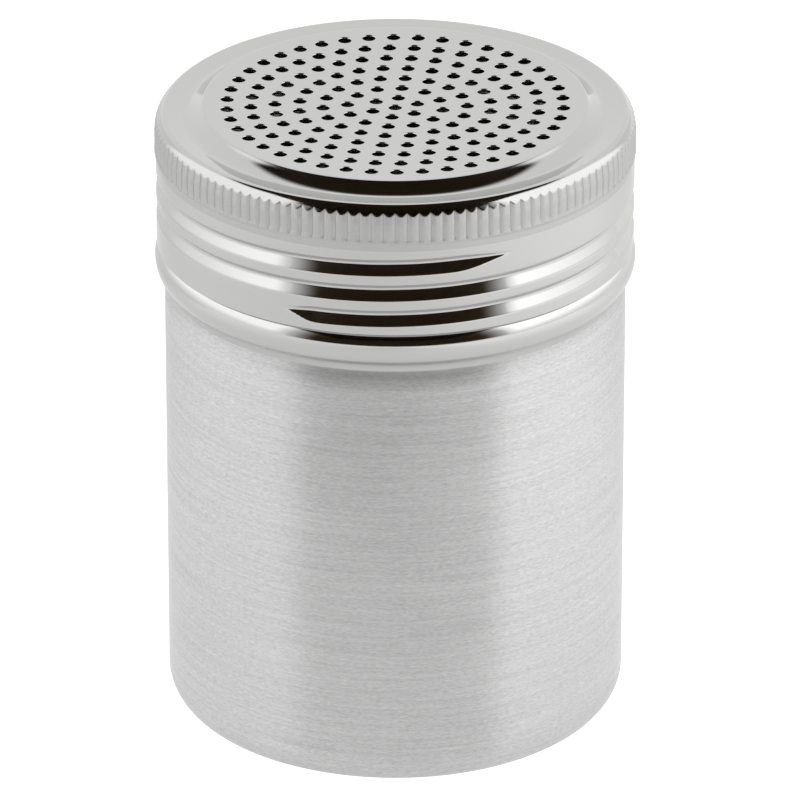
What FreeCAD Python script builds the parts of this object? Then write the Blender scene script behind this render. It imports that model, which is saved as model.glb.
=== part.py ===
"""Table shaker for ground spice: a deep-drawn steel can and a screwed-on steel lid with a
perforated top. Millimetres, +Z up, origin at the middle of the base."""
import FreeCAD, Part
import math
import os
import Sketcher
from FreeCAD import Placement, Rotation, Vector

# Driving sizes: millimetres, degrees and plain counts
SIZES = {
    # can: one drawn cup with a bead under the lid and a neck that the lid covers
    "can_radius": 34.0,
    "can_wall": 0.5,
    "base_fillet": 4.9,
    "bead_height": 71.85,
    "bead_round": 3.5,
    "bead_overhang": 0.28,
    "bead_foot_fillet": 0.4,
    "bead_neck_fillet": 0.3,
    "neck_step": 0.4,
    # screw thread, rolled into both sheets
    "thread_pitch": 4.0,
    "thread_depth": 0.75,
    "thread_clearance": 0.27,
    "lid_thread_turns": 2.19,
    "lid_thread_start_angle": -130.0,
    "lid_thread_start_rise": 2.76,
    "can_thread_turns": 1.9,
    # lid: one pressed cap
    "lid_wall": 0.5,
    "skirt_lift": 2.55,
    "skirt_length": 19.65,
    "rim_rise": 0.47,
    "shoulder_drop": 1.72,
    "shoulder_run": 1.38,
    "shoulder_fillet": 3.2,
    "shoulder_inner_fillet": 1.6,
    "rim_fillet": 0.6,
    "rim_width": 0.5,
    "rim_slope_run": 0.45,
    "riser_foot_radius": 30.25,
    "riser_run": 2.08,
    "riser_rise": 1.61,
    "riser_foot_fillet": 1.2,
    "riser_top_fillet": 0.7,
    "panel_dish": 0.81,
    # flutes of the finger grip
    "grip_lift": 14.2,
    "grip_proud": 0.21,
    "flute_depth": 0.25,
    "flute_half_width": 0.76,
    "flute_count": 128,
    # perforations: one in the middle and rings of six, twelve, eighteen and so on
    "hole_diameter": 1.95,
    "hole_pitch": 3.52,
    "hole_rings": 7,
    "holes_in_first_ring": 6,
    # washer between the can's mouth and the lid
    "washer_thickness": 0.8,
    "washer_width": 2.2,
    # how far a cutter or a rib's root reaches past the face it works on
    "overrun": 0.2,
}

# Sizes that follow from others, as sheet formulas
DERIVED = {
    "neck_radius": "=can_radius - neck_step",
    "lid_ridge_radius": "=neck_radius + thread_clearance",
    "lid_bore": "=lid_ridge_radius + thread_depth",
    "lid_radius": "=lid_bore + lid_wall",
    "can_thread_radius": "=lid_bore - thread_clearance",
    "bead_radius": "=lid_radius + bead_overhang",
    "bead_circle": "=bead_radius - bead_round",
    "lid_edge": "=bead_height + skirt_lift",
    "moat_height": "=lid_edge + skirt_length",
    "rim_height": "=moat_height + rim_rise",
    "panel_height": "=moat_height + riser_rise",
    "panel_radius": "=riser_foot_radius - riser_run",
    "panel_middle": "=panel_height - panel_dish",
    "washer_top": "=moat_height - lid_wall",
    "mouth_height": "=washer_top - washer_thickness",
    "grip_radius": "=lid_radius + grip_proud",
    "grip_base": "=lid_edge + grip_lift",
    "lid_thread_start": "=lid_edge + lid_thread_start_rise",
    "shoulder_corner": "=rim_height - shoulder_drop",
    "shoulder_slope": "=atan(shoulder_run / shoulder_drop)",
    "shoulder_cut": "=(lid_wall + grip_proud) * cos(shoulder_slope) - lid_wall",
    "shoulder_inner_height": "=shoulder_corner + shoulder_cut / sin(shoulder_slope)",
    "shoulder_inner_run": "=shoulder_run * (washer_top - shoulder_inner_height) / shoulder_drop",
    "rim_outside": "=grip_radius - shoulder_run",
    "rim_inside": "=rim_outside - rim_width",
    "moat_seam": "=(rim_inside - rim_slope_run + riser_foot_radius) / 2",
    "riser_offset": "=lid_wall * tan(45 deg - atan(riser_run / riser_rise) / 2)",
}

# Shape of the rolled thread along the axis, as shares of the pitch, from the valley's middle
VALLEY_SHARES = {"upper_edge": 0.2125, "floor": 0.0375, "lower_edge": -0.4375}
RIDGE_SHARES = {"upper_edge": 0.2875, "floor": 0.0625, "lower_edge": -0.5}
CAN_RIB_SHARES = {"lower_foot": 0.19, "lower_crest": 0.34, "upper_crest": 0.52, "upper_foot": 0.82}

# Turn of each hole ring about the axis, in degrees, from the innermost ring outwards
RING_ANGLES = [22.3, -8.1, 2.0, 7.3, -1.8, 2.3, -3.7]

# Third point of the panel's dished arc, as a share of its radius
DISH_POINT_SHARE = 0.5

FULL_TURN = 360.0
TOLERANCE_SHARE = 1e-4

doc = FreeCAD.newDocument("shaker")
sheet = doc.addObject("Spreadsheet::Sheet", "Sizes")
for row, (alias, value) in enumerate(list(SIZES.items()) + list(DERIVED.items()), start=1):
    sheet.set("A%d" % row, alias)
    sheet.set("B%d" % row, str(value))
    sheet.setAlias("B%d" % row, alias)
doc.recompute()


def size(alias):
    """The value of one cell of the sheet."""
    return float(sheet.get(alias))


def bound(expression):
    """A formula on bare aliases, written for an object outside the sheet."""
    words = expression.replace("(", " ( ").replace(")", " ) ").split()
    names = set(SIZES) | set(DERIVED)
    return " ".join("Sizes." + word if word in names else word for word in words)


def worked_out(expression):
    """The number that a formula on aliases gives now."""
    return float(sheet.evalExpression(expression))


def new_body(label):
    """An empty body whose label names its file."""
    body = doc.addObject("PartDesign::Body", label)
    body.Label = label
    return body


def new_sketch(body, name, plane, turn=None, lift=None):
    """A sketch on an origin plane of the body, turned about or lifted along the main axis."""
    sketch = body.newObject("Sketcher::SketchObject", name)
    for feature in body.Origin.OriginFeatures:
        if feature.Role == plane:
            sketch.AttachmentSupport = [(feature, "")]
    sketch.MapMode = "FlatFace"
    if turn:
        sketch.AttachmentOffset = Placement(Vector(), Rotation(Vector(0, 1, 0), worked_out(turn)))
        sketch.setExpression("AttachmentOffset.Rotation.Angle", bound(turn))
    if lift:
        sketch.setExpression("AttachmentOffset.Base.z", bound(lift))
    return sketch


def fix_point(sketch, geometry, end, across, up):
    """Ties a point of the sketch to two formulas; None puts it on that axis."""
    for kind, expression, axis in (("DistanceX", across, -2), ("DistanceY", up, -1)):
        if expression is None:
            sketch.addConstraint(Sketcher.Constraint("PointOnObject", geometry, end, axis))
        else:
            here = worked_out(expression)
            row = sketch.addConstraint(Sketcher.Constraint(kind, -1, 1, geometry, end, here))
            sketch.setExpression("Constraints[%d]" % row, bound(expression))


def place(across, up):
    """A point of a sketch from two formulas."""
    return Vector(worked_out(across) if across else 0, worked_out(up) if up else 0, 0)


def add_outline(sketch, corners):
    """Closes straight lines through the corners and ties each corner to its formulas."""
    points = [place(*corner) for corner in corners]
    first = sketch.GeometryCount
    for start, end in zip(points, points[1:] + points[:1]):
        sketch.addGeometry(Part.LineSegment(start, end), False)
    for k, corner in enumerate(corners):
        after = first + (k + 1) % len(corners)
        sketch.addConstraint(Sketcher.Constraint("Coincident", first + k, 2, after, 1))
        fix_point(sketch, first + k, 1, *corner)


def dish_arc(sketch, middle, edge):
    """The panel's shallow arc from the axis out to its edge, centred on the axis."""
    drop = edge.y - middle.y
    round_radius = (edge.x ** 2 + drop ** 2) / (2 * drop)
    half_way = edge.x * DISH_POINT_SHARE
    half_height = middle.y + round_radius - (round_radius ** 2 - half_way ** 2) ** 0.5
    arc = sketch.addGeometry(Part.Arc(middle, Vector(half_way, half_height, 0), edge), False)
    sketch.addConstraint(Sketcher.Constraint("PointOnObject", arc, 3, -2))
    return arc


def add_dished_sheet(sketch, corners, upper_middle, lower_middle):
    """Straight lines through the corners, closed by two dished arcs and a line on the axis."""
    points = [place(*corner) for corner in corners]
    for start, end in zip(points, points[1:]):
        sketch.addGeometry(Part.LineSegment(start, end), False)
    last = len(corners) - 2
    for k, corner in enumerate(corners[:-1]):
        if k:
            sketch.addConstraint(Sketcher.Constraint("Coincident", k - 1, 2, k, 1))
        fix_point(sketch, k, 1, *corner)
    fix_point(sketch, last, 2, *corners[-1])
    axis = Part.LineSegment(place(*upper_middle), place(*lower_middle))
    axis = sketch.addGeometry(axis, False)
    fix_point(sketch, axis, 1, *upper_middle)
    fix_point(sketch, axis, 2, *lower_middle)
    upper = dish_arc(sketch, place(*upper_middle), points[0])
    lower = dish_arc(sketch, place(*lower_middle), points[-1])
    for arc, axis_end, line, line_end in ((upper, 1, 0, 1), (lower, 2, last, 2)):
        sketch.addConstraint(Sketcher.Constraint("Coincident", arc, 1, axis, axis_end))
        sketch.addConstraint(Sketcher.Constraint("Coincident", arc, 2, line, line_end))


def add_circle(sketch, centre, radius):
    """A circle with its centre and radius tied to formulas."""
    middle = place(*centre)
    number = sketch.addGeometry(Part.Circle(middle, Vector(0, 0, 1), worked_out(radius)), False)
    row = sketch.addConstraint(Sketcher.Constraint("Radius", number, worked_out(radius)))
    sketch.setExpression("Constraints[%d]" % row, bound(radius))
    fix_point(sketch, number, 3, *centre)


def revolve(body, name, sketch):
    """Turns a sketch once round the body's main axis."""
    feature = body.newObject("PartDesign::Revolution", name)
    feature.Profile = sketch
    feature.ReferenceAxis = (sketch, ["V_Axis"])
    feature.Angle = FULL_TURN
    doc.recompute()
    return feature


def rings_at(feature, radius, low, high):
    """Names of the circular edges about the main axis of one radius within a span of height."""
    near = TOLERANCE_SHARE * size("can_radius")
    names = []
    for number, edge in enumerate(feature.Shape.Edges, start=1):
        if edge.Degenerated or not isinstance(edge.Curve, Part.Circle):
            continue
        same_radius = abs(edge.Curve.Radius - radius) < near
        if same_radius and low - near <= edge.Curve.Center.z <= high + near:
            names.append("Edge%d" % number)
    return names


def fillet(body, name, base, radius, places):
    """Rounds the rings given as (radius, lowest, highest) with a radius from the sheet."""
    edges = []
    for ring in places:
        found = rings_at(base, *ring)
        if not found:
            raise ValueError("no edge to round for " + name)
        edges += found
    feature = body.newObject("PartDesign::Fillet", name)
    feature.Base = (base, edges)
    feature.setExpression("Radius", bound(radius))
    doc.recompute()
    return feature


def hollow(body, name, base, wall, open_height):
    """Leaves a wall inside the outer skin, open at the flat face of one height."""
    near = TOLERANCE_SHARE * size("can_radius")
    mouth = []
    for number, face in enumerate(base.Shape.Faces, start=1):
        box = face.BoundBox
        if box.ZLength < near and abs(box.ZMax - open_height) < near:
            mouth.append("Face%d" % number)
    feature = body.newObject("PartDesign::Thickness", name)
    feature.Base = (base, mouth)
    feature.setExpression("Value", bound(wall))
    feature.Reversed = True
    feature.Mode = 0
    feature.Join = 0
    doc.recompute()


def helix(body, name, sketch, turns, kind):
    """Carries a sketch along a right-handed thread of the common pitch."""
    feature = body.newObject("PartDesign::" + kind, name)
    feature.Profile = sketch
    feature.ReferenceAxis = (sketch, ["V_Axis"])
    feature.Mode = "pitch-turns-angle"
    feature.setExpression("Pitch", bound("thread_pitch"))
    feature.setExpression("Turns", bound(turns))
    feature.Refine = False
    doc.recompute()


def polar(body, name, feature, sketch, count):
    """Repeats a feature evenly round the main axis."""
    pattern = body.newObject("PartDesign::PolarPattern", name)
    pattern.Originals = [feature]
    pattern.Axis = (sketch, ["N_Axis"])
    pattern.Angle = FULL_TURN
    pattern.setExpression("Occurrences", bound(count))
    pattern.Refine = False
    body.Tip = pattern
    doc.recompute()


def along(share):
    """Height of a thread corner above the valley's middle, as a formula."""
    return "(%s) * thread_pitch" % share


# Can: cup and neck turned as one solid, the bead added, then hollowed to sheet
can = new_body("can")
cup_sketch = new_sketch(can, "cup_outline", "XZ_Plane")
add_outline(cup_sketch, [
    (None, None),
    ("can_radius", None),
    ("can_radius", "bead_height"),
    ("neck_radius", "bead_height"),
    ("neck_radius", "mouth_height"),
    (None, "mouth_height"),
])
cup = revolve(can, "cup", cup_sketch)
bead_sketch = new_sketch(can, "bead_circle_outline", "XZ_Plane")
add_circle(bead_sketch, ("bead_circle", "bead_height"), "bead_round")
bead = revolve(can, "bead", bead_sketch)
bottom = fillet(can, "base_rounding", bead, "base_fillet", [(size("can_radius"), 0, 0)])
span = (size("bead_height") - 2 * size("bead_round"), size("bead_height"))
foot = fillet(can, "bead_foot_rounding", bottom, "bead_foot_fillet", [(size("can_radius"),) + span])
span = (size("bead_height"), size("bead_height") + 2 * size("bead_round"))
neck = fillet(can, "bead_neck_rounding", foot, "bead_neck_fillet", [(size("neck_radius"),) + span])
hollow(can, "can_sheet", neck, "can_wall", size("mouth_height"))
rib_sketch = new_sketch(can, "can_thread_outline", "XZ_Plane", turn="lid_thread_start_angle")
add_outline(rib_sketch, [
    ("neck_radius - overrun", "lid_thread_start + " + along(CAN_RIB_SHARES["lower_foot"])),
    ("neck_radius", "lid_thread_start + " + along(CAN_RIB_SHARES["lower_foot"])),
    ("can_thread_radius", "lid_thread_start + " + along(CAN_RIB_SHARES["lower_crest"])),
    ("can_thread_radius", "lid_thread_start + " + along(CAN_RIB_SHARES["upper_crest"])),
    ("neck_radius", "lid_thread_start + " + along(CAN_RIB_SHARES["upper_foot"])),
    ("neck_radius - overrun", "lid_thread_start + " + along(CAN_RIB_SHARES["upper_foot"])),
])
helix(can, "can_thread", rib_sketch, "can_thread_turns", "AdditiveHelix")

# Lid skirt: the sheet's section from the flat moat out to the lower edge, turned and rounded
skirt = new_body("lid_skirt")
skirt_sketch = new_sketch(skirt, "skirt_outline", "XZ_Plane")
add_outline(skirt_sketch, [
    ("moat_seam", "moat_height"),
    ("rim_inside - rim_slope_run", "moat_height"),
    ("rim_inside", "rim_height"),
    ("rim_outside", "rim_height"),
    ("grip_radius", "shoulder_corner"),
    ("grip_radius", "grip_base + grip_proud"),
    ("lid_radius", "grip_base"),
    ("lid_radius", "lid_edge"),
    ("lid_bore", "lid_edge"),
    ("lid_bore", "shoulder_inner_height"),
    ("lid_bore - shoulder_inner_run", "washer_top"),
    ("moat_seam", "washer_top"),
])
skirt_ring = revolve(skirt, "skirt_ring", skirt_sketch)
heights = (size("moat_height"), size("panel_height"))
corner = (size("grip_radius"), size("shoulder_corner"), size("shoulder_corner"))
shoulder = fillet(skirt, "shoulder_rounding", skirt_ring, "shoulder_fillet", [corner])
rim = fillet(skirt, "rim_rounding", shoulder, "rim_fillet", [(size("rim_outside"),) + heights])
corner = (size("lid_bore"), size("shoulder_inner_height"), size("shoulder_inner_height"))
fillet(skirt, "inner_rounding", rim, "shoulder_inner_fillet", [corner])

# Thread of the lid: a rib added inside, then the same valley rolled in from outside
ridge_sketch = new_sketch(skirt, "lid_rib_outline", "XZ_Plane", turn="lid_thread_start_angle")
add_outline(ridge_sketch, [
    ("lid_bore + overrun", "lid_thread_start + " + along(RIDGE_SHARES["upper_edge"])),
    ("lid_bore", "lid_thread_start + " + along(RIDGE_SHARES["upper_edge"])),
    ("lid_ridge_radius", "lid_thread_start + " + along(RIDGE_SHARES["floor"])),
    ("lid_ridge_radius", "lid_thread_start - " + along(RIDGE_SHARES["floor"])),
    ("lid_bore", "lid_thread_start + " + along(RIDGE_SHARES["lower_edge"])),
    ("lid_bore + overrun", "lid_thread_start + " + along(RIDGE_SHARES["lower_edge"])),
])
helix(skirt, "lid_rib", ridge_sketch, "lid_thread_turns", "AdditiveHelix")
valley_sketch = new_sketch(skirt, "lid_valley_outline", "XZ_Plane", turn="lid_thread_start_angle")
add_outline(valley_sketch, [
    ("lid_radius + overrun", "lid_thread_start + " + along(VALLEY_SHARES["upper_edge"])),
    ("lid_radius", "lid_thread_start + " + along(VALLEY_SHARES["upper_edge"])),
    ("lid_radius - thread_depth", "lid_thread_start + " + along(VALLEY_SHARES["floor"])),
    ("lid_radius - thread_depth", "lid_thread_start - " + along(VALLEY_SHARES["floor"])),
    ("lid_radius", "lid_thread_start + " + along(VALLEY_SHARES["lower_edge"])),
    ("lid_radius + overrun", "lid_thread_start + " + along(VALLEY_SHARES["lower_edge"])),
])
helix(skirt, "lid_valley", valley_sketch, "lid_thread_turns", "SubtractiveHelix")

# Flutes: one straight notch up through the shoulder, repeated round the grip
flute_sketch = new_sketch(skirt, "flute_outline", "XY_Plane", lift="grip_base + grip_proud")
add_outline(flute_sketch, [
    ("grip_radius - flute_depth", None),
    ("grip_radius", "0 - flute_half_width"),
    ("grip_radius + overrun", "0 - flute_half_width"),
    ("grip_radius + overrun", "flute_half_width"),
    ("grip_radius", "flute_half_width"),
])
flute = skirt.newObject("PartDesign::Pocket", "flute")
flute.Profile = flute_sketch
flute.Reversed = True
flute.setExpression("Length", bound("rim_height - grip_base"))
flute.Refine = False
doc.recompute()
polar(skirt, "flutes", flute, flute_sketch, "flute_count")

# Lid panel: the dished top with its riser and the inner part of the moat
panel = new_body("lid_panel")
panel_sketch = new_sketch(panel, "panel_outline", "XZ_Plane")
add_dished_sheet(panel_sketch, [
    ("panel_radius", "panel_height"),
    ("riser_foot_radius", "moat_height"),
    ("moat_seam", "moat_height"),
    ("moat_seam", "washer_top"),
    ("riser_foot_radius - riser_offset", "washer_top"),
    ("panel_radius - riser_offset", "panel_height - lid_wall"),
], (None, "panel_middle"), (None, "panel_middle - lid_wall"))
panel_disc = revolve(panel, "panel_disc", panel_sketch)
foot_ring = (size("riser_foot_radius"),) + heights
riser_foot = fillet(panel, "riser_foot_rounding", panel_disc, "riser_foot_fillet", [foot_ring])
top_ring = (size("panel_radius"),) + heights
fillet(panel, "riser_top_rounding", riser_foot, "riser_top_fillet", [top_ring])


# Perforations: the middle hole, then one sector of all the rings repeated round the axis
def hole_cut(name, centres):
    """Pierces the panel with the round holes whose centres are given as formulas."""
    sketch = new_sketch(panel, name + "_outline", "XY_Plane", lift="panel_height + overrun")
    for centre in centres:
        add_circle(sketch, centre, "hole_diameter / 2")
    cut = panel.newObject("PartDesign::Pocket", name)
    cut.Profile = sketch
    cut.setExpression("Length", bound("riser_rise + lid_wall + overrun"))
    cut.Refine = False
    doc.recompute()
    return cut


hole_cut("middle_hole", [(None, None)])
sectors = round(size("holes_in_first_ring"))
sector_centres = []
for ring, turn in enumerate(RING_ANGLES[:round(size("hole_rings"))], start=1):
    for number in range(ring):
        angle = math.radians(turn + FULL_TURN * number / (sectors * ring))
        across = "hole_pitch * %.9f" % (ring * math.cos(angle))
        up = "hole_pitch * %.9f" % (ring * math.sin(angle))
        sector_centres.append((across, up))
hole_sector = hole_cut("hole_sector", sector_centres)
polar(panel, "holes", hole_sector, hole_sector.Profile[0], "holes_in_first_ring")

# The lid is one pressing, so its two halves are joined across the moat
lid = doc.addObject("Part::Fuse", "lid")
lid.Label = "lid"
lid.Base = skirt
lid.Tool = panel
lid.Refine = True
doc.recompute()

# Washer: a flat ring lying on the can's mouth, under the lid's flat moat
washer = new_body("sealing_washer")
washer_sketch = new_sketch(washer, "washer_outline", "XY_Plane", lift="mouth_height")
add_circle(washer_sketch, (None, None), "neck_radius")
add_circle(washer_sketch, (None, None), "neck_radius - washer_width")
ring = washer.newObject("PartDesign::Pad", "washer_ring")
ring.Profile = washer_sketch
ring.setExpression("Length", bound("washer_thickness"))
doc.recompute()

for item in doc.Objects:
    if "Invalid" in item.State or "Error" in item.State:
        raise RuntimeError("%s failed: %s" % (item.Name, item.getStatusString()))
os.makedirs("parts", exist_ok=True)
for body in (can, lid, washer):
    shape = body.Shape
    if shape.isNull() or not shape.isValid() or len(shape.Solids) != 1:
        raise RuntimeError(body.Label + " is not one valid solid")
    shape.exportStep("parts/%s.step" % body.Label)
    print(body.Label, "volume %.1f mm3" % shape.Volume, "box", shape.BoundBox)
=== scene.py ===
import math

import bpy
import numpy as np
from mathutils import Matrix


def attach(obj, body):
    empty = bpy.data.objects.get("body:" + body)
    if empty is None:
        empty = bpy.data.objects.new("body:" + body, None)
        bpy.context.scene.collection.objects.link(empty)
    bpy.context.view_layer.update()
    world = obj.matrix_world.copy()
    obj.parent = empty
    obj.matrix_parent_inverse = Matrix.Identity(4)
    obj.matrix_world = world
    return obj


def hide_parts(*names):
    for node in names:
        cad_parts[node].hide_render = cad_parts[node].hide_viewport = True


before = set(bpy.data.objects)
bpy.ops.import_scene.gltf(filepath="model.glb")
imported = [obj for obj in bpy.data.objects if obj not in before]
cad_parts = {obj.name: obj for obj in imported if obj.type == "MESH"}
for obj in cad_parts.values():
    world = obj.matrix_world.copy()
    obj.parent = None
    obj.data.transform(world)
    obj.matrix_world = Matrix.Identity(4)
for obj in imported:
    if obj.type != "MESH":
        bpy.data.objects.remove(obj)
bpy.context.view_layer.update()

# Camera: a long lens 1.3 m away, looking down at the shaker from the front at about
# 25 degrees, with the can's axis a hair left of the middle of the frame.
camera_distance = 1.3249
camera_elevation = math.radians(25.48)
camera_aim = (0.0007, 0.0, 0.04742)
camera_data = bpy.data.cameras.new("camera")
camera_data.sensor_width = 36.0
camera_data.lens = 401.5
camera_data.clip_end = 100.0
camera = bpy.data.objects.new("camera", camera_data)
camera.location = (
    camera_aim[0],
    camera_aim[1] - camera_distance * math.cos(camera_elevation),
    camera_aim[2] + camera_distance * math.sin(camera_elevation),
)
camera.rotation_euler = (math.pi / 2 - camera_elevation, 0.0, 0.0)
bpy.context.scene.collection.objects.link(camera)
bpy.context.scene.camera = camera

# Can: one cup drawn from 0.5 mm stainless sheet, with a bead rolled out below the neck and
# a thread rolled into the neck. Its wall draws in a hair under the bead and is brushed
# round up to there; bead and neck keep the bright rolled skin, the inside is as drawn.

# Lengths are in millimetres, and a place of the section is (radius, height)
mm = 0.001
can_wall = 0.5
can_radius = 34.0
base_round = 4.9
waist_round = 34.0
waist_lean = 5.4
bead_middle = (31.9, 71.85)
bead_round = 3.5
bead_foot_round = 3.0
belt_reach = 8.6
neck_radius = 33.6
neck_foot_round = 0.3
mouth_height = 92.75
thread_pitch = 4.0
thread_depth = 0.75
thread_start_height = 77.02
thread_start_angle = math.radians(-130)
can_thread_corners = (0.76, 1.36, 2.08, 3.28)
can_thread_ease = 0.24
can_thread_fades = (0.0, 0.06, 1.84, 1.9)
can_columns = 224

# The two fillets beside the bead: the turn round the bead's middle at which each meets it,
# and each one's own middle. The waist starts where its arc and the lower fillet end.
lean = math.radians(waist_lean)
waist_radius = can_radius - waist_round * (1 - math.cos(lean))
bead_foot_radius = waist_radius + bead_foot_round * math.cos(lean)
foot_reach = bead_round + bead_foot_round
foot_turn = math.degrees(math.acos((bead_foot_radius - bead_middle[0]) / foot_reach))
bead_foot_height = bead_middle[1] - foot_reach * math.sin(math.radians(foot_turn))
bead_foot_middle = (bead_foot_radius, bead_foot_height)
waist_start = bead_foot_height - (bead_foot_round + waist_round) * math.sin(lean)
neck_foot_radius = neck_radius + neck_foot_round
neck_reach = bead_round + neck_foot_round
neck_turn = math.degrees(math.acos((neck_foot_radius - bead_middle[0]) / neck_reach))
neck_foot_height = bead_middle[1] + neck_reach * math.sin(math.radians(neck_turn))
neck_foot_middle = (neck_foot_radius, neck_foot_height)


def straight(start, end, steps):
    """Rows of a straight run of a section: start + s * (end - start) for even shares s. Each
    row is radius, height and the outward normal, the run's direction turned clockwise."""
    start, end = np.array(start, float), np.array(end, float)
    share = np.linspace(0, 1, steps + 1)[:, None]
    along = (end - start) / np.linalg.norm(end - start)
    normal = np.tile([along[1], -along[0]], (steps + 1, 1))
    return np.hstack([start + share * (end - start), normal])


def rounded(centre, radius, first, last, steps):
    """Rows of an arc of a section: centre + radius * (cos a, sin a) for even angles a, in
    degrees. The normal points out where a grows and to the centre where it falls."""
    a = np.radians(np.linspace(first, last, steps + 1))
    out = np.stack([np.cos(a), np.sin(a)], axis=1)
    return np.hstack([np.array(centre) + radius * out, out if last > first else -out])


def joined(*runs):
    """The runs of a section end to end, without the first row of a run that starts where
    the run before it ended."""
    rows = [runs[0]]
    for run in runs[1:]:
        same = np.allclose(rows[-1][-1, :2], run[0, :2], atol=0.01)
        rows.append(run[1:] if same else run)
    return np.vstack(rows)


def inside_of(rows, wall):
    """The inner face of a sheet: each row moved back by the wall along its normal, in the
    opposite order."""
    back = rows.copy()
    back[:, :2] -= wall * rows[:, 2:]
    return back[::-1]


def turned(rows, azimuth, press=0.0):
    """Carries section rows round the axis: ((r + p) cos t, (r + p) sin t, z) for each
    azimuth t, with p the press at that row and azimuth."""
    radius = rows[:, :1] + press + 0 * azimuth
    height = rows[:, 1:2] + 0 * radius
    return np.stack([radius * np.cos(azimuth), radius * np.sin(azimuth), height], axis=-1)


def round_the_axis(columns):
    """Even azimuths once round the axis."""
    return np.arange(columns) * 2 * math.pi / columns


def eased(value, low, high):
    """0 below low, 1 above high, and 3 s^2 - 2 s^3 of the share s between them."""
    share = np.clip((value - low) / (high - low), 0, 1)
    return share * share * (3 - 2 * share)


def rolled(height, corners, ease):
    """Section of a rolled thread: 0 up to the first corner, 1 from the second to the third,
    0 after the fourth, straight between, and averaged twice over a short span, ease."""
    fine = np.arange(corners[0] - 1, corners[3] + 1, 0.005)
    span = np.ones(int(ease / 0.005)) / int(ease / 0.005)
    shape = np.interp(fine, corners, [0, 1, 1, 0])
    shape = np.convolve(np.convolve(shape, span, "same"), span, "same")
    return np.interp(height, fine, shape)


def threaded(azimuth, height, corners, ease, fades):
    """Reach of a right-handed thread, 0 to 1: its section, read at the height over the helix
    start + pitch * t for each turn t over a place, sunk out of sight at each end."""
    reach = np.zeros(np.broadcast(azimuth, height).shape)
    first = np.mod(azimuth - thread_start_angle, 2 * math.pi) / (2 * math.pi)
    for lap in (-1, 0, 1, 2):
        turn = first + lap
        over = height - thread_start_height - thread_pitch * turn
        fade = eased(turn, fades[0], fades[1]) * (1 - eased(turn, fades[2], fades[3]))
        reach = np.maximum(reach, rolled(over, corners, ease) + fade - 1)
    return reach


def band_between(start_a, ring_a, start_b, ring_b):
    """Faces between two rings of points: quads where both have as many points, and else
    triangles, where each side of one ring takes the nearest point of the other."""
    a, b = len(ring_a), len(ring_b)
    if a == b:
        i = np.arange(a)
        j = (i + 1) % a
        return np.stack([start_a + i, start_a + j, start_b + j, start_b + i], 1).tolist()
    if min(a, b) == 1:
        i = np.arange(max(a, b))
        j = (i + 1) % max(a, b)
        tip = np.full(max(a, b), start_a if a == 1 else start_b)
        sides = (tip, start_b + j, start_b + i) if a == 1 else (start_a + i, start_a + j, tip)
        return np.stack(sides, 1).tolist()
    middle_a = (np.arange(a) + 0.5) / a
    middle_b = (np.arange(b) + 0.5) / b
    near_b = np.searchsorted(middle_b, middle_a - 1e-9) % b
    near_a = np.searchsorted(middle_a, middle_b + 1e-9) % a
    i, j = np.arange(a), np.arange(b)
    from_a = np.stack([start_a + i, start_a + (i + 1) % a, start_b + near_b], 1)
    from_b = np.stack([start_b + (j + 1) % b, start_b + j, start_a + near_a], 1)
    return from_a.tolist() + from_b.tolist()


cut_angle = math.radians(65)


def sheet_piece(name, grids, materials, closed):
    """One smooth mesh from grids of points, ring after ring, with sharp edges where the
    sheet is cut. The second of each pair is the grid's material. The last ring is joined to
    the first where the section is closed."""
    rings = [(ring, slot) for grid, slot in grids for ring in grid]
    starts = np.cumsum([0] + [len(ring) for ring, slot in rings])
    faces, slots = [], []
    for k in range(len(rings) if closed else len(rings) - 1):
        after = (k + 1) % len(rings)
        band = band_between(starts[k], rings[k][0], starts[after], rings[after][0])
        faces += band
        slots += [rings[after][1]] * len(band)
    mesh = bpy.data.meshes.new(name)
    points = np.vstack([ring for ring, slot in rings]) * mm
    mesh.from_pydata(points.tolist(), [], faces)
    mesh.polygons.foreach_set("material_index", slots)
    mesh.polygons.foreach_set("use_smooth", np.ones(len(faces), bool))
    for material in materials:
        mesh.materials.append(material)
    mesh.set_sharp_from_angle(angle=cut_angle)
    mesh.update()
    piece = bpy.data.objects.new(name, mesh)
    bpy.context.scene.collection.objects.link(piece)
    return piece


def linear(colour):
    """An sRGB hex colour as linear red, green, blue and 1."""
    share = np.array([int(colour[i:i + 2], 16) for i in (1, 3, 5)]) / 255
    value = np.where(share <= 0.04045, share / 12.92, ((share + 0.055) / 1.055) ** 2.4)
    return (*value.tolist(), 1.0)


def add_node(material, kind, settings=None, inputs=None):
    """One shader node with its settings and its inputs, each a value or another's output."""
    tree = material.node_tree
    node = tree.nodes.new("ShaderNode" + kind)
    for key, value in (settings or {}).items():
        setattr(node, key, value)
    for key, value in (inputs or {}).items():
        if isinstance(value, bpy.types.NodeSocket):
            tree.links.new(value, node.inputs[key])
        else:
            node.inputs[key].default_value = value
    return node


def new_finish(name):
    """An empty node material and its surface socket."""
    material = bpy.data.materials.new(name)
    material.use_nodes = True
    material.node_tree.nodes.clear()
    output = add_node(material, "OutputMaterial")
    return material, output.inputs["Surface"]


# Brushed stainless: an abrasive belt run round the turning can. The eye sees short fine
# level lines, a few longer scratches, and reflections that are drawn out up and down. The
# belt's marks are coarser under the bead, where it turns away, so the wall is duller there.
brushed, surface = new_finish("brushed_stainless")
place = add_node(brushed, "TexCoord").outputs["Object"]

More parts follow.
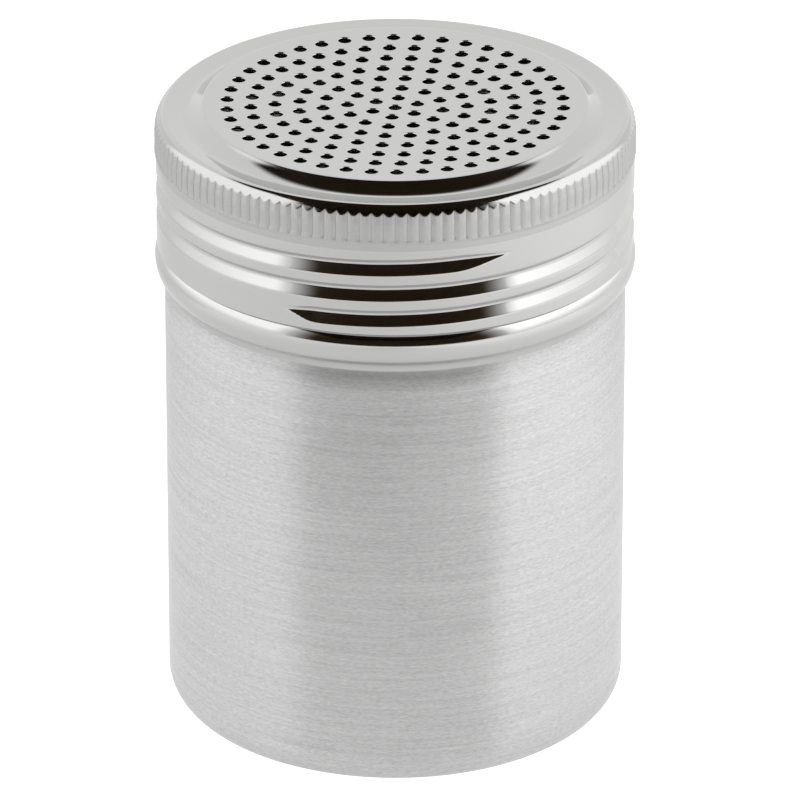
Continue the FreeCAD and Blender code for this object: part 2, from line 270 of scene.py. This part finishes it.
# Real belt lines are about 0.05 mm high. They are drawn coarser, so that they show.
line_length = 0.8
line_height = 0.13
scratch_length = 26.0
scratch_height = 0.5
coarse_height = 68.0
lines = add_node(brushed, "Mapping", None, {
    "Vector": place,
    "Scale": (1 / (line_length * mm), 1 / (line_length * mm), 1 / (line_height * mm)),
})
fine_lines = add_node(brushed, "TexNoise", None, {
    "Vector": lines.outputs["Vector"], "Scale": 1.0, "Detail": 2.0, "Roughness": 0.6,
})
scratched = add_node(brushed, "Mapping", None, {
    "Vector": place,
    "Scale": (1 / (scratch_length * mm), 1 / (scratch_length * mm), 1 / (scratch_height * mm)),
})
long_lines = add_node(brushed, "TexNoise", None, {
    "Vector": scratched.outputs["Vector"], "Scale": 1.0, "Detail": 2.0, "Roughness": 0.6,
})
tone = add_node(brushed, "Math", {"operation": "MULTIPLY_ADD"}, {
    0: long_lines.outputs["Fac"], 1: 0.45, 2: fine_lines.outputs["Fac"],
})
shade = add_node(brushed, "ValToRGB", None, {"Fac": tone.outputs[0]})
shade.color_ramp.elements[0].position = 0.5
shade.color_ramp.elements[0].color = linear("#C5C5C5")
shade.color_ramp.elements[1].position = 0.95
shade.color_ramp.elements[1].color = linear("#E3E3E3")
relief = add_node(brushed, "Bump", None, {
    "Strength": 0.08, "Distance": 0.01 * mm, "Height": fine_lines.outputs["Fac"],
})
round_can = add_node(brushed, "Tangent", {"direction_type": "RADIAL", "axis": "Z"})
cloudy = add_node(brushed, "TexNoise", None, {
    "Vector": place, "Scale": 1 / (14 * mm), "Detail": 1.0,
})
height = add_node(brushed, "SeparateXYZ", None, {"Vector": place})
up = add_node(brushed, "MapRange", None, {
    "Value": height.outputs["Z"], "From Max": coarse_height * mm,
})
coarse = add_node(brushed, "ValToRGB", None, {"Fac": up.outputs["Result"]})
coarse.color_ramp.elements[0].color = (0.25, 0.25, 0.25, 1)
coarse.color_ramp.elements.new(0.95).color = (0.31, 0.31, 0.31, 1)
coarse.color_ramp.elements[2].color = (0.46, 0.46, 0.46, 1)
patchy = add_node(brushed, "Math", {"operation": "MULTIPLY_ADD"}, {
    0: cloudy.outputs["Fac"], 1: 0.05, 2: coarse.outputs["Color"],
})
metal = add_node(brushed, "BsdfPrincipled", None, {
    "Base Color": shade.outputs["Color"], "Metallic": 1.0, "Roughness": patchy.outputs[0],
    "Anisotropic": 1.0, "Anisotropic Rotation": 0.25, "Normal": relief.outputs["Normal"],
    "Tangent": round_can.outputs["Tangent"],
})
brushed.node_tree.links.new(metal.outputs["BSDF"], surface)

# Bright stainless: the rolled and buffed skin. It mirrors the studio nearly sharp, and
# only very faint buffing marks break the reflection up. The belt has dulled the bead's
# underside, up to about 2 mm above the fillet.
bright, surface = new_finish("bright_stainless")
place = add_node(bright, "TexCoord").outputs["Object"]
marks = add_node(bright, "Mapping", None, {
    "Vector": place, "Scale": (1 / (6 * mm), 1 / (6 * mm), 1 / (0.4 * mm)),
})
buffing = add_node(bright, "TexNoise", None, {
    "Vector": marks.outputs["Vector"], "Scale": 1.0, "Detail": 3.0,
})
height = add_node(bright, "SeparateXYZ", None, {"Vector": place})
caught = add_node(bright, "MapRange", {"interpolation_type": "SMOOTHSTEP"}, {
    "Value": height.outputs["Z"],
    "From Min": (bead_middle[1] - 0.65) * mm, "From Max": (bead_middle[1] - 2.65) * mm,
    "To Min": 0.05, "To Max": 0.34,
})
gloss = add_node(bright, "Math", {"operation": "MULTIPLY_ADD"}, {
    0: buffing.outputs["Fac"], 1: 0.05, 2: caught.outputs["Result"],
})
metal = add_node(bright, "BsdfPrincipled", None, {
    "Base Color": linear("#C5C5C4"), "Metallic": 1.0, "Roughness": gloss.outputs[0],
})
bright.node_tree.links.new(metal.outputs["BSDF"], surface)

# Knurled stainless: the wheel tears the bright skin a little as it presses the flutes, so
# they gleam softly instead of mirroring. Each root's fine dark line is painted shade.
knurled, surface = new_finish("knurled_stainless")
place = add_node(knurled, "TexCoord").outputs["Object"]
torn = add_node(knurled, "Mapping", None, {
    "Vector": place, "Scale": (1 / (0.25 * mm), 1 / (0.25 * mm), 1 / (1.2 * mm)),
})
tears = add_node(knurled, "TexNoise", None, {
    "Vector": torn.outputs["Vector"], "Scale": 1.0, "Detail": 2.0,
})
depth = add_node(knurled, "Attribute", {"attribute_name": "flute"})
# Painted shade: the colour darkens from #BABAB9 to #8E8D89 towards each flute's root.
root = add_node(knurled, "ValToRGB", None, {"Fac": depth.outputs["Fac"]})
root.color_ramp.elements[0].position = 0.9
root.color_ramp.elements[0].color = linear("#BABAB9")
root.color_ramp.elements[1].position = 1.0
root.color_ramp.elements[1].color = linear("#8E8D89")
matting = add_node(knurled, "MapRange", None, {
    "Value": depth.outputs["Fac"], "From Max": 0.3, "To Min": 0.04, "To Max": 0.3,
})
uneven = add_node(knurled, "Math", {"operation": "MULTIPLY_ADD"}, {
    0: tears.outputs["Fac"], 1: 0.1, 2: matting.outputs["Result"],
})
metal = add_node(knurled, "BsdfPrincipled", None, {
    "Base Color": root.outputs["Color"], "Metallic": 1.0, "Roughness": uneven.outputs[0],
})
knurled.node_tree.links.new(metal.outputs["BSDF"], surface)

# As drawn: the dull inside of the cup, with upright lines left by the drawing tools.
drawn, surface = new_finish("drawn_stainless")
place = add_node(drawn, "TexCoord").outputs["Object"]
lines = add_node(drawn, "Mapping", None, {
    "Vector": place, "Scale": (1 / (0.5 * mm), 1 / (0.5 * mm), 1 / (20 * mm)),
})
tool_lines = add_node(drawn, "TexNoise", None, {
    "Vector": lines.outputs["Vector"], "Scale": 1.0, "Detail": 2.0,
})
dullness = add_node(drawn, "MapRange", None, {
    "Value": tool_lines.outputs["Fac"], "To Min": 0.28, "To Max": 0.42,
})
metal = add_node(drawn, "BsdfPrincipled", None, {
    "Base Color": linear("#BDBDBA"), "Metallic": 1.0, "Roughness": dullness.outputs["Result"],
})
drawn.node_tree.links.new(metal.outputs["BSDF"], surface)

foot = straight((0, 0), (can_radius - base_round, 0), 6)
wall_rows = joined(
    rounded((can_radius - base_round, base_round), base_round, -90, 0, 14),
    straight((can_radius, base_round), (can_radius, waist_start), 10),
    rounded((can_radius - waist_round, waist_start), waist_round, 0, waist_lean, 8),
    rounded(bead_foot_middle, bead_foot_round, 180 + waist_lean, 180 - belt_reach, 5),
)
bead_rows = joined(
    rounded(bead_foot_middle, bead_foot_round, 180 - belt_reach, 180 - foot_turn, 8),
    rounded(bead_middle, bead_round, -foot_turn, neck_turn, 26),
    rounded(neck_foot_middle, neck_foot_round, neck_turn - 180, -180, 5),
)
mouth_middle = (neck_radius - can_wall / 2, mouth_height - can_wall / 2)
neck_rows = straight((neck_radius, neck_foot_height), (neck_radius, mouth_middle[1]), 60)
mouth_rows = rounded(mouth_middle, can_wall / 2, 0, 180, 6)
azimuth = round_the_axis(can_columns)


def can_press(rows):
    """How far the can's thread lifts the neck at each row and azimuth."""
    height = rows[:, 1:2]
    reach = threaded(azimuth, height, can_thread_corners, can_thread_ease, can_thread_fades)
    return thread_depth * reach


cup_inside = inside_of(joined(foot, wall_rows, bead_rows, neck_rows), can_wall)
can = sheet_piece("can_drawn_cup", [
    (np.zeros((1, 1, 3)), 0),
    (turned(foot[1:-1], azimuth), 0),
    (turned(wall_rows, azimuth), 0),
    (turned(bead_rows[1:], azimuth), 1),
    (turned(neck_rows[1:], azimuth, can_press(neck_rows[1:])), 1),
    (turned(mouth_rows[1:-1], azimuth), 1),
    (turned(cup_inside[:-1], azimuth, can_press(cup_inside[:-1])), 2),
    (np.array([[[0.0, 0.0, can_wall]]]), 2),
], [brushed, bright, drawn], closed=False)
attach(can, "can")
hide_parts("can")

# Washer: a flat ring stamped from pale silicone sheet, held between the can's mouth and
# the lid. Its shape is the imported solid's; here it gets its matt, slightly dusty face.
silicone, surface = new_finish("moulded_silicone")
place = add_node(silicone, "TexCoord").outputs["Object"]
cloud = add_node(silicone, "TexNoise", None, {
    "Vector": place, "Scale": 1 / (2.5 * mm), "Detail": 4.0,
})
milky = add_node(silicone, "ValToRGB", None, {"Fac": cloud.outputs["Fac"]})
milky.color_ramp.elements[0].color = linear("#D4D1C9")
milky.color_ramp.elements[1].color = linear("#E6E3DC")
grain = add_node(silicone, "Bump", None, {
    "Strength": 0.2, "Distance": 0.02 * mm, "Height": cloud.outputs["Fac"],
})
rubber = add_node(silicone, "BsdfPrincipled", None, {
    "Base Color": milky.outputs["Color"], "Roughness": 0.55, "IOR": 1.41,
    "Normal": grain.outputs["Normal"],
})
silicone.node_tree.links.new(rubber.outputs["BSDF"], surface)
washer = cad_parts["sealing_washer"]
washer.data.materials.clear()
washer.data.materials.append(silicone)

# Lid skirt: the outer part of the one pressed cap, from its cut lower edge up over the
# rolled thread, the fluted grip and the rolled rim to the crease in the moat. The flutes
# are 128 shallow V marks of a knurling wheel.
lid_wall = 0.5
lid_radius = 35.12
lid_edge = 74.4
edge_break = 0.1
grip_radius = 35.33
shoulder_middle = (32.03, 91.79)
shoulder_round = 3.3
rim_middle = (33.66, 93.82)
rim_round = 0.7
crease = (31.8, 94.187)
shoulder_turn = 51.2
rim_turn = 100.5
skirt_top = 87.6
step_foot = (88.5, 88.55)
step_top = 88.85
lid_thread_corners = (-1.75, -0.15, 0.15, 0.85)
lid_thread_ease = 0.3
lid_thread_fades = (0.033, 0.058, 2.15, 2.195)
flute_count = 128
root_depth = 0.25
crest_depth = 0.06
flute_foot = (88.6, 89.5)
flute_lean_height = 91.8
flute_lean = math.tan(math.radians(8))
flute_top = 47
skirt_columns = 320
rim_columns = 512
inner_columns = 160

# Ten columns to a flute, closest together at its root
flute_pitch = 2 * math.pi / flute_count
flute_places = np.array([0.0, 0.05, 0.13, 0.24, 0.37, 0.5, 0.63, 0.76, 0.87, 0.95])
grip_azimuth = (np.arange(flute_count)[:, None] + flute_places).ravel() * flute_pitch


def flute_share(azimuth, rows):
    """Depth of the flutes, 0 at the rib between two and 1 at the root: (1 - s)^2 with s the
    distance from the root over half the pitch; it fades out at the foot."""
    turn = azimuth / flute_pitch
    beside = 2 * np.abs(turn - np.round(turn))
    return (1 - beside) ** 2 * eased(rows[:, 1:2], *flute_foot)


def fluted(azimuth, rows):
    """Press of the flutes, zero or less: their face, crest depth and a share of the rest
    inside the grip's radius, leans in with the height wherever it lies inside the sheet."""
    depth = crest_depth * eased(rows[:, 1:2], *flute_foot)
    depth = depth + (root_depth - crest_depth) * flute_share(azimuth, rows)
    depth = depth + flute_lean * np.maximum(rows[:, 1:2] - flute_lean_height, 0)
    return np.minimum(grip_radius - depth - rows[:, :1], 0)


def lid_press(azimuth, rows):
    """How far the lid's thread valley is rolled in at each row and azimuth, as a press."""
    height = rows[:, 1:2]
    reach = threaded(azimuth, height, lid_thread_corners, lid_thread_ease, lid_thread_fades)
    return -thread_depth * reach


def skirt_section(fineness):
    """The skirt's outer face from the lower edge to the crease, in three parts: threaded
    wall, fluted grip and rim. Fineness scales how many rows each run has."""
    def rows(count):
        return max(2, round(count * fineness))
    wall = straight((lid_radius, lid_edge + edge_break), (lid_radius, skirt_top), rows(108))
    grip = joined(
        straight((lid_radius, skirt_top + 0.1), (lid_radius, step_foot[0]), 2),
        straight((lid_radius, step_foot[1]), (grip_radius, step_top), 2),
        straight((grip_radius, step_top), (grip_radius, shoulder_middle[1]), rows(9)),
        rounded(shoulder_middle, shoulder_round, 0, flute_top, rows(16)),
    )
    rim_roll = rounded(rim_middle, rim_round, shoulder_turn, rim_turn, rows(10))
    rim = joined(
        rounded(shoulder_middle, shoulder_round, flute_top + 1, shoulder_turn, 2),
        rim_roll,
        straight(rim_roll[-1, :2], crease, 5),
    )
    return wall, grip, rim


threaded_wall, grip_wall, rim_wall = skirt_section(1.0)
lining = inside_of(joined(*skirt_section(0.4)), lid_wall)
wall_azimuth = round_the_axis(skirt_columns)
lining_azimuth = round_the_axis(inner_columns)
cut_edge = rounded((lid_radius - edge_break, lid_edge + edge_break), edge_break, -90, 0, 3)
lid_skirt = sheet_piece("lid_skirt", [
    (turned(cut_edge[:-1], wall_azimuth), 0),
    (turned(threaded_wall, wall_azimuth, lid_press(wall_azimuth, threaded_wall)), 0),
    (turned(grip_wall, grip_azimuth, fluted(grip_azimuth, grip_wall)), 1),
    (turned(rim_wall, round_the_axis(rim_columns)), 0),
    (turned(lining, lining_azimuth, lid_press(lining_azimuth, lining)), 0),
], [bright, knurled], closed=True)

# The flute attribute: 0 on untouched skin, 0.2 on a rib that the wheel has pressed, 1 at a
# root, where the knurled finish paints shade. The grip's points come after those of the cut
# edge and the threaded wall.
grip_start = (len(cut_edge) - 1 + len(threaded_wall)) * skirt_columns
pressed = fluted(grip_azimuth, grip_wall) < -0.01
share = np.where(pressed, 0.2 + 0.8 * flute_share(grip_azimuth, grip_wall), 0).ravel()
shares = np.zeros(len(lid_skirt.data.vertices))
shares[grip_start:grip_start + len(share)] = share
lid_skirt.data.attributes.new("flute", "FLOAT", "POINT").data.foreach_set("value", shares)
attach(lid_skirt, "lid")
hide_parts("lid")

# Lid top: the middle of the same pressing, from the crease up the riser to the dished
# panel with its 169 punched holes. The punch has drawn each hole's edge down a little.
dish_round = 490.0
panel_middle = 94.85
hole_pitch = 3.52
hole_bore = 0.95
hole_roll = 0.18
hole_break_width = 0.05
hole_break_height = 0.04
cell_radius = 1.35
moat_middle = (30.9, 96.81)
moat_round = 2.75
riser_foot_middle = (30.645, 95.059)
riser_foot_round = 1.0
riser_foot_turn = -116
riser_middle = (33.495, 100.901)
riser_round = 7.5
riser_turn = -134
panel_edge_middle = (27.938, 95.146)
panel_edge_round = 0.5
dish_start = 26.9

# One hole in the middle and six more in each ring than in the ring inside it. Each ring's
# turn, in degrees, is as in the photo, and the holes on both sides of a border divide its
# number of points.
ring_turns = [22.3, -8.1, 2.0, 7.3, -1.8, 2.3, -3.7]
ring_points = [36, 72, 108, 144, 240, 180, 252, 336]
side_steps = 6


def dished(x, y):
    """Height of the panel's upper face: middle + r^2 / (2 R) at the distance r."""
    return panel_middle + (x * x + y * y) / (2 * dish_round)


def border(ring, index):
    """Point of the circle half a pitch outside a hole ring, by its index, as x and y."""
    angle = index * 2 * math.pi / ring_points[ring]
    radius = (ring + 0.5) * hole_pitch
    return np.stack([radius * np.cos(angle), radius * np.sin(angle)], axis=-1)


def cell_loops(ring):
    """Borders of the cells round a ring's holes, anticlockwise: out along the outer circle,
    back on the inner one, with straight sides shared between neighbours."""
    if ring == 0:
        return border(0, np.arange(ring_points[0]))[None], np.zeros((1, 2))
    count = 6 * ring
    cell = np.arange(count)[:, None]
    start = ring_turns[ring - 1] / 360 - 0.5 / count
    outer_steps, inner_steps = ring_points[ring] // count, ring_points[ring - 1] // count
    outer = round(start * ring_points[ring]) + cell * outer_steps
    inner = round(start * ring_points[ring - 1]) + cell * inner_steps
    share = np.arange(side_steps)[None, :, None] / side_steps
    far_out, far_in = border(ring, outer + outer_steps), border(ring - 1, inner + inner_steps)
    near_out, near_in = border(ring, outer), border(ring - 1, inner)
    loop = np.concatenate([
        border(ring, outer + np.arange(outer_steps)),
        far_out + share * (far_in - far_out),
        border(ring - 1, inner + np.arange(inner_steps, 0, -1)),
        near_in + share * (near_out - near_in),
    ], axis=1)
    angle = math.radians(ring_turns[ring - 1]) + cell[:, 0] * 2 * math.pi / count
    return loop, ring * hole_pitch * np.stack([np.cos(angle), np.sin(angle)], axis=-1)


def pierced_cells(ring):
    """Upper face, rolled edge, bore and lower face round each hole of a ring. Row by row
    the cell's border shrinks to a circle of the row's radius, at the row's drop."""
    loop, centre = cell_loops(ring)
    away = loop - centre[:, None]
    way = away / np.linalg.norm(away, axis=-1, keepdims=True)
    a = np.radians(np.linspace(0, 90, 5))
    radii = np.concatenate([[cell_radius], hole_bore + hole_roll * (1 - np.sin(a)),
                            [hole_bore, hole_bore + hole_break_width, cell_radius]])
    drops = np.concatenate([[0], hole_roll * (1 - np.cos(a)),
                            [lid_wall - hole_break_height, lid_wall, lid_wall]])
    circles = centre[:, None, None] + radii[:, None, None] * way[:, None]
    flat = np.concatenate([loop[:, None], circles, loop[:, None]], axis=1)
    height = dished(flat[..., 0], flat[..., 1])
    height = height - np.concatenate([[0], drops, [lid_wall]])[:, None]
    return np.concatenate([flat, height[..., None]], axis=-1)


points, faces = [], []
taken = 0
for ring in range(len(ring_points)):
    cells = pierced_cells(ring)
    index = taken + np.arange(cells[..., 0].size).reshape(cells.shape[:3])
    after = np.roll(index, -1, axis=2)
    quads = np.stack([index[:, :-1], after[:, :-1], after[:, 1:], index[:, 1:]], axis=-1)
    faces.append(quads.reshape(-1, 4))
    points.append(cells.reshape(-1, 3))
    taken += cells[..., 0].size

# The section from the crease inwards: moat, fillet, hollow riser, panel's edge, dish
moat = rounded(moat_middle, moat_round, -79.5, -90, 4)
riser_foot = rounded(riser_foot_middle, riser_foot_round, -90, riser_foot_turn, 6)
panel_edge = rounded(panel_edge_middle, panel_edge_round, 180 + riser_turn, 93.29, 9)
outer_rows = joined(
    straight(crease, moat[0, :2], 2),
    moat,
    straight(moat[-1, :2], riser_foot[0, :2], 1),
    riser_foot,
    rounded(riser_middle, riser_round, riser_foot_turn, riser_turn, 8),
    panel_edge,
    straight(panel_edge[-1, :2], (dish_start, dished(dish_start, 0)), 2),
)
rows = np.vstack([inside_of(outer_rows, lid_wall), outer_rows])
panel_columns = ring_points[-1]
rings = turned(rows, round_the_axis(panel_columns))
edge_up = border(7, np.arange(panel_columns))
edge = np.concatenate([edge_up, dished(*edge_up.T)[:, None]], axis=1)
under = edge - np.array([0, 0, lid_wall])
rings = np.concatenate([under[None], rings, edge[None]])
index = taken + np.arange(rings[..., 0].size).reshape(rings.shape[:2])
after = np.roll(index, -1, axis=1)
quads = np.stack([index[:-1], after[:-1], after[1:], index[1:]], axis=-1)
faces.append(quads.reshape(-1, 4))
points.append(rings.reshape(-1, 3))
points = np.vstack(points)
faces = np.vstack(faces)
rounded_off = np.round(points, 5)
first, same = np.unique(rounded_off, axis=0, return_index=True, return_inverse=True)[1:]
mesh = bpy.data.meshes.new("lid_top")
mesh.from_pydata((points[first] * mm).tolist(), [], same.ravel()[faces].tolist())
mesh.polygons.foreach_set("use_smooth", np.ones(len(faces), bool))
mesh.materials.append(bright)
mesh.validate()
mesh.set_sharp_from_angle(angle=cut_angle)
mesh.update()
lid_top = bpy.data.objects.new("lid_top", mesh)
bpy.context.scene.collection.objects.link(lid_top)
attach(lid_top, "lid")
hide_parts("lid")

# Studio: a white floor and a white room, a tall soft box on each side, a black card in
# front and a black canopy overhead, which the camera looks past and the steel mirrors.
# Lengths are in metres here. Each piece fades out at its sides, as its reflections do.
room = bpy.data.worlds.new("white_room")
room.use_nodes = True
room.node_tree.nodes["Background"].inputs["Color"].default_value = linear("#FFFFFF")
room.node_tree.nodes["Background"].inputs["Strength"].default_value = 1.0
bpy.context.scene.world = room


def flat_mesh(name, points, faces, material):
    """A stage piece of flat faces, which the camera looks through unless it is the floor."""
    mesh = bpy.data.meshes.new(name)
    mesh.from_pydata(points, [], faces)
    mesh.materials.append(material)
    piece = bpy.data.objects.new(name, mesh)
    piece.visible_camera = name == "floor"
    bpy.context.scene.collection.objects.link(piece)


paper, surface = new_finish("white_paper")
ray = add_node(paper, "LightPath")
matt = add_node(paper, "BsdfDiffuse", None, {"Color": linear("#E6E6E6")})
soft = add_node(paper, "BsdfDiffuse", None, {"Color": linear("#A0A0A0")})
place = add_node(paper, "TexCoord").outputs["Object"]
at = add_node(paper, "SeparateXYZ", None, {"Vector": place})
# Painted light: to the camera and in the steel's reflections the floor glows brighter towards
# both sides, most on the right, and towards the front, as pools of the soft boxes' light. It is
# dimmest in the middle and behind.
across = add_node(paper, "MapRange", None, {
    "Value": at.outputs["X"], "From Min": -0.3, "From Max": 0.3,
})
painted_spill = add_node(paper, "ValToRGB", None, {"Fac": across.outputs["Result"]})
painted_spill.color_ramp.interpolation = "B_SPLINE"
painted_spill.color_ramp.elements[0].color = (0.81, 0.81, 0.81, 1)
painted_spill.color_ramp.elements.new(0.5).color = (0.54, 0.54, 0.54, 1)
painted_spill.color_ramp.elements[2].color = (1.06, 1.06, 1.06, 1)
behind = add_node(paper, "MapRange", {"interpolation_type": "SMOOTHSTEP"}, {
    "Value": at.outputs["Y"], "From Min": 0.02, "From Max": 0.22,
    "To Min": 1.06, "To Max": 0.8,
})
painted_spill_level = add_node(paper, "Math", {"operation": "MULTIPLY"}, {
    0: painted_spill.outputs["Color"], 1: behind.outputs["Result"],
})
lift = add_node(paper, "Math", {"operation": "MULTIPLY_ADD"}, {
    0: ray.outputs["Is Camera Ray"], 1: 0.4, 2: painted_spill_level.outputs[0],
})
glow = add_node(paper, "Emission", None, {
    "Color": linear("#FFFFFF"), "Strength": lift.outputs[0],
})
seen = add_node(paper, "AddShader", None, {0: soft.outputs[0], 1: glow.outputs[0]})
looked_at = add_node(paper, "Math", {"operation": "MAXIMUM"}, {
    0: ray.outputs["Is Camera Ray"], 1: ray.outputs["Is Glossy Ray"],
})
mixed = add_node(paper, "MixShader", None, {
    "Fac": looked_at.outputs[0], 1: matt.outputs[0], 2: seen.outputs[0],
})
paper.node_tree.links.new(mixed.outputs[0], surface)
half = 4.0
under = -0.05 * mm
flat_mesh("floor", [(-half, -half, under), (half, -half, under), (half, half, under),
                    (-half, half, under)], [(0, 1, 2, 3)], paper)

card_finish, surface = new_finish("black_card")
place = add_node(card_finish, "TexCoord").outputs["Object"]
at = add_node(card_finish, "SeparateXYZ", None, {"Vector": place})
ahead = add_node(card_finish, "Math", {"operation": "MULTIPLY"}, {0: at.outputs["Y"], 1: -1.0})
bearing = add_node(card_finish, "Math", {"operation": "ARCTAN2"}, {
    0: at.outputs["X"], 1: ahead.outputs[0],
})
fade = []
for value, clear, full in ((bearing.outputs[0], -0.98, -0.64), (bearing.outputs[0], 1.02, 0.7)):
    fade.append(add_node(card_finish, "MapRange", {"interpolation_type": "SMOOTHSTEP"}, {
        "Value": value, "From Min": clear, "From Max": full,
    }))
card_share = add_node(card_finish, "Math", {"operation": "MULTIPLY"}, {
    0: fade[0].outputs["Result"], 1: fade[1].outputs["Result"],
})
felt = add_node(card_finish, "BsdfDiffuse", None, {"Color": linear("#423628")})
through = add_node(card_finish, "BsdfTransparent")
card = add_node(card_finish, "MixShader", None, {
    "Fac": card_share.outputs[0], 1: through.outputs[0], 2: felt.outputs[0],
})
card_finish.node_tree.links.new(card.outputs[0], surface)
card_radius = 1.45
card_bottom = 0.16
card_top = 1.25
card_columns = 33
angle = np.radians(np.linspace(-141, -37, card_columns))
arc = card_radius * np.stack([np.cos(angle), np.sin(angle)], axis=1)
card_points = [(x, y, z) for z in (card_bottom, card_top) for x, y in arc.tolist()]
card_faces = [(k, k + 1, k + 1 + card_columns, k + card_columns)
              for k in range(card_columns - 1)]
flat_mesh("front_card", card_points, card_faces, card_finish)

over_finish, surface = new_finish("black_canopy")
place = add_node(over_finish, "TexCoord").outputs["Object"]
at = add_node(over_finish, "SeparateXYZ", None, {"Vector": place})
aside = add_node(over_finish, "Math", {"operation": "ABSOLUTE"}, {0: at.outputs["X"]})
slant = add_node(over_finish, "Math", {"operation": "MULTIPLY_ADD"}, {
    0: aside.outputs[0], 1: -0.15, 2: at.outputs["Y"],
})
behind = add_node(over_finish, "MapRange", {"interpolation_type": "SMOOTHSTEP"}, {
    "Value": slant.outputs[0], "From Min": 0.26, "From Max": 0.11,
})
beside = add_node(over_finish, "MapRange", {"interpolation_type": "SMOOTHSTEP"}, {
    "Value": aside.outputs[0], "From Min": 0.8, "From Max": 0.66,
})
over_share = add_node(over_finish, "Math", {"operation": "MULTIPLY"}, {
    0: behind.outputs["Result"], 1: beside.outputs["Result"],
})
felt = add_node(over_finish, "BsdfDiffuse", None, {"Color": linear("#2A2319")})
through = add_node(over_finish, "BsdfTransparent")
canopy = add_node(over_finish, "MixShader", None, {
    "Fac": over_share.outputs[0], 1: through.outputs[0], 2: felt.outputs[0],
})
over_finish.node_tree.links.new(canopy.outputs[0], surface)
ceiling = 0.86
canopy_side = 0.8
canopy_rear = 0.48
flat_mesh("canopy", [(-canopy_side, -card_radius, ceiling),
                     (canopy_side, -card_radius, ceiling),
                     (canopy_side, canopy_rear, ceiling),
                     (-canopy_side, canopy_rear, ceiling)], [(0, 1, 2, 3)], over_finish)

# Soft boxes: cloth lit from behind. Its light fades at the foot, the front and the slanted
# top and back: each row is a direction, the place along it without light and the one with.
box_aside = 0.6
box_front, box_rear = -0.56, 0.68
box_foot, box_top = 0.02, 0.85
box_fades = (
    ((0, 0, 1), 0.02, 0.3),
    ((0, 1, 0), -0.49, -0.355),
    ((0, 0.7, 1), 0.83, 0.68),
    ((0, 1, 0.5), 0.68, 0.52),
)
for name, side, glow_strength in (("left_soft_box", -1, 1.6), ("right_soft_box", 1, 1.8)):
    cloth, surface = new_finish(name)
    place = add_node(cloth, "TexCoord").outputs["Object"]
    cloth_share = None
    for way, clear, full in box_fades:
        along = add_node(cloth, "VectorMath", {"operation": "DOT_PRODUCT"}, {0: place, 1: way})
        fade = add_node(cloth, "MapRange", {"interpolation_type": "SMOOTHSTEP"}, {
            "Value": along.outputs["Value"], "From Min": clear, "From Max": full,
        })
        if cloth_share is None:
            cloth_share = fade.outputs["Result"]
        else:
            cloth_share = add_node(cloth, "Math", {"operation": "MULTIPLY"}, {
                0: cloth_share, 1: fade.outputs["Result"],
            }).outputs[0]
    lit = add_node(cloth, "Emission", None, {
        "Color": linear("#FFFFFF"), "Strength": glow_strength,
    })
    clear_cloth = add_node(cloth, "BsdfTransparent")
    faded = add_node(cloth, "MixShader", None, {
        "Fac": cloth_share, 1: clear_cloth.outputs[0], 2: lit.outputs[0],
    })
    cloth.node_tree.links.new(faded.outputs[0], surface)
    x = side * box_aside
    flat_mesh(name, [(x, box_front, box_foot), (x, box_rear, box_foot),
                     (x, box_rear, box_top), (x, box_front, box_top)], [(0, 1, 2, 3)], cloth)

bpy.context.scene.view_settings.view_transform = "Standard"
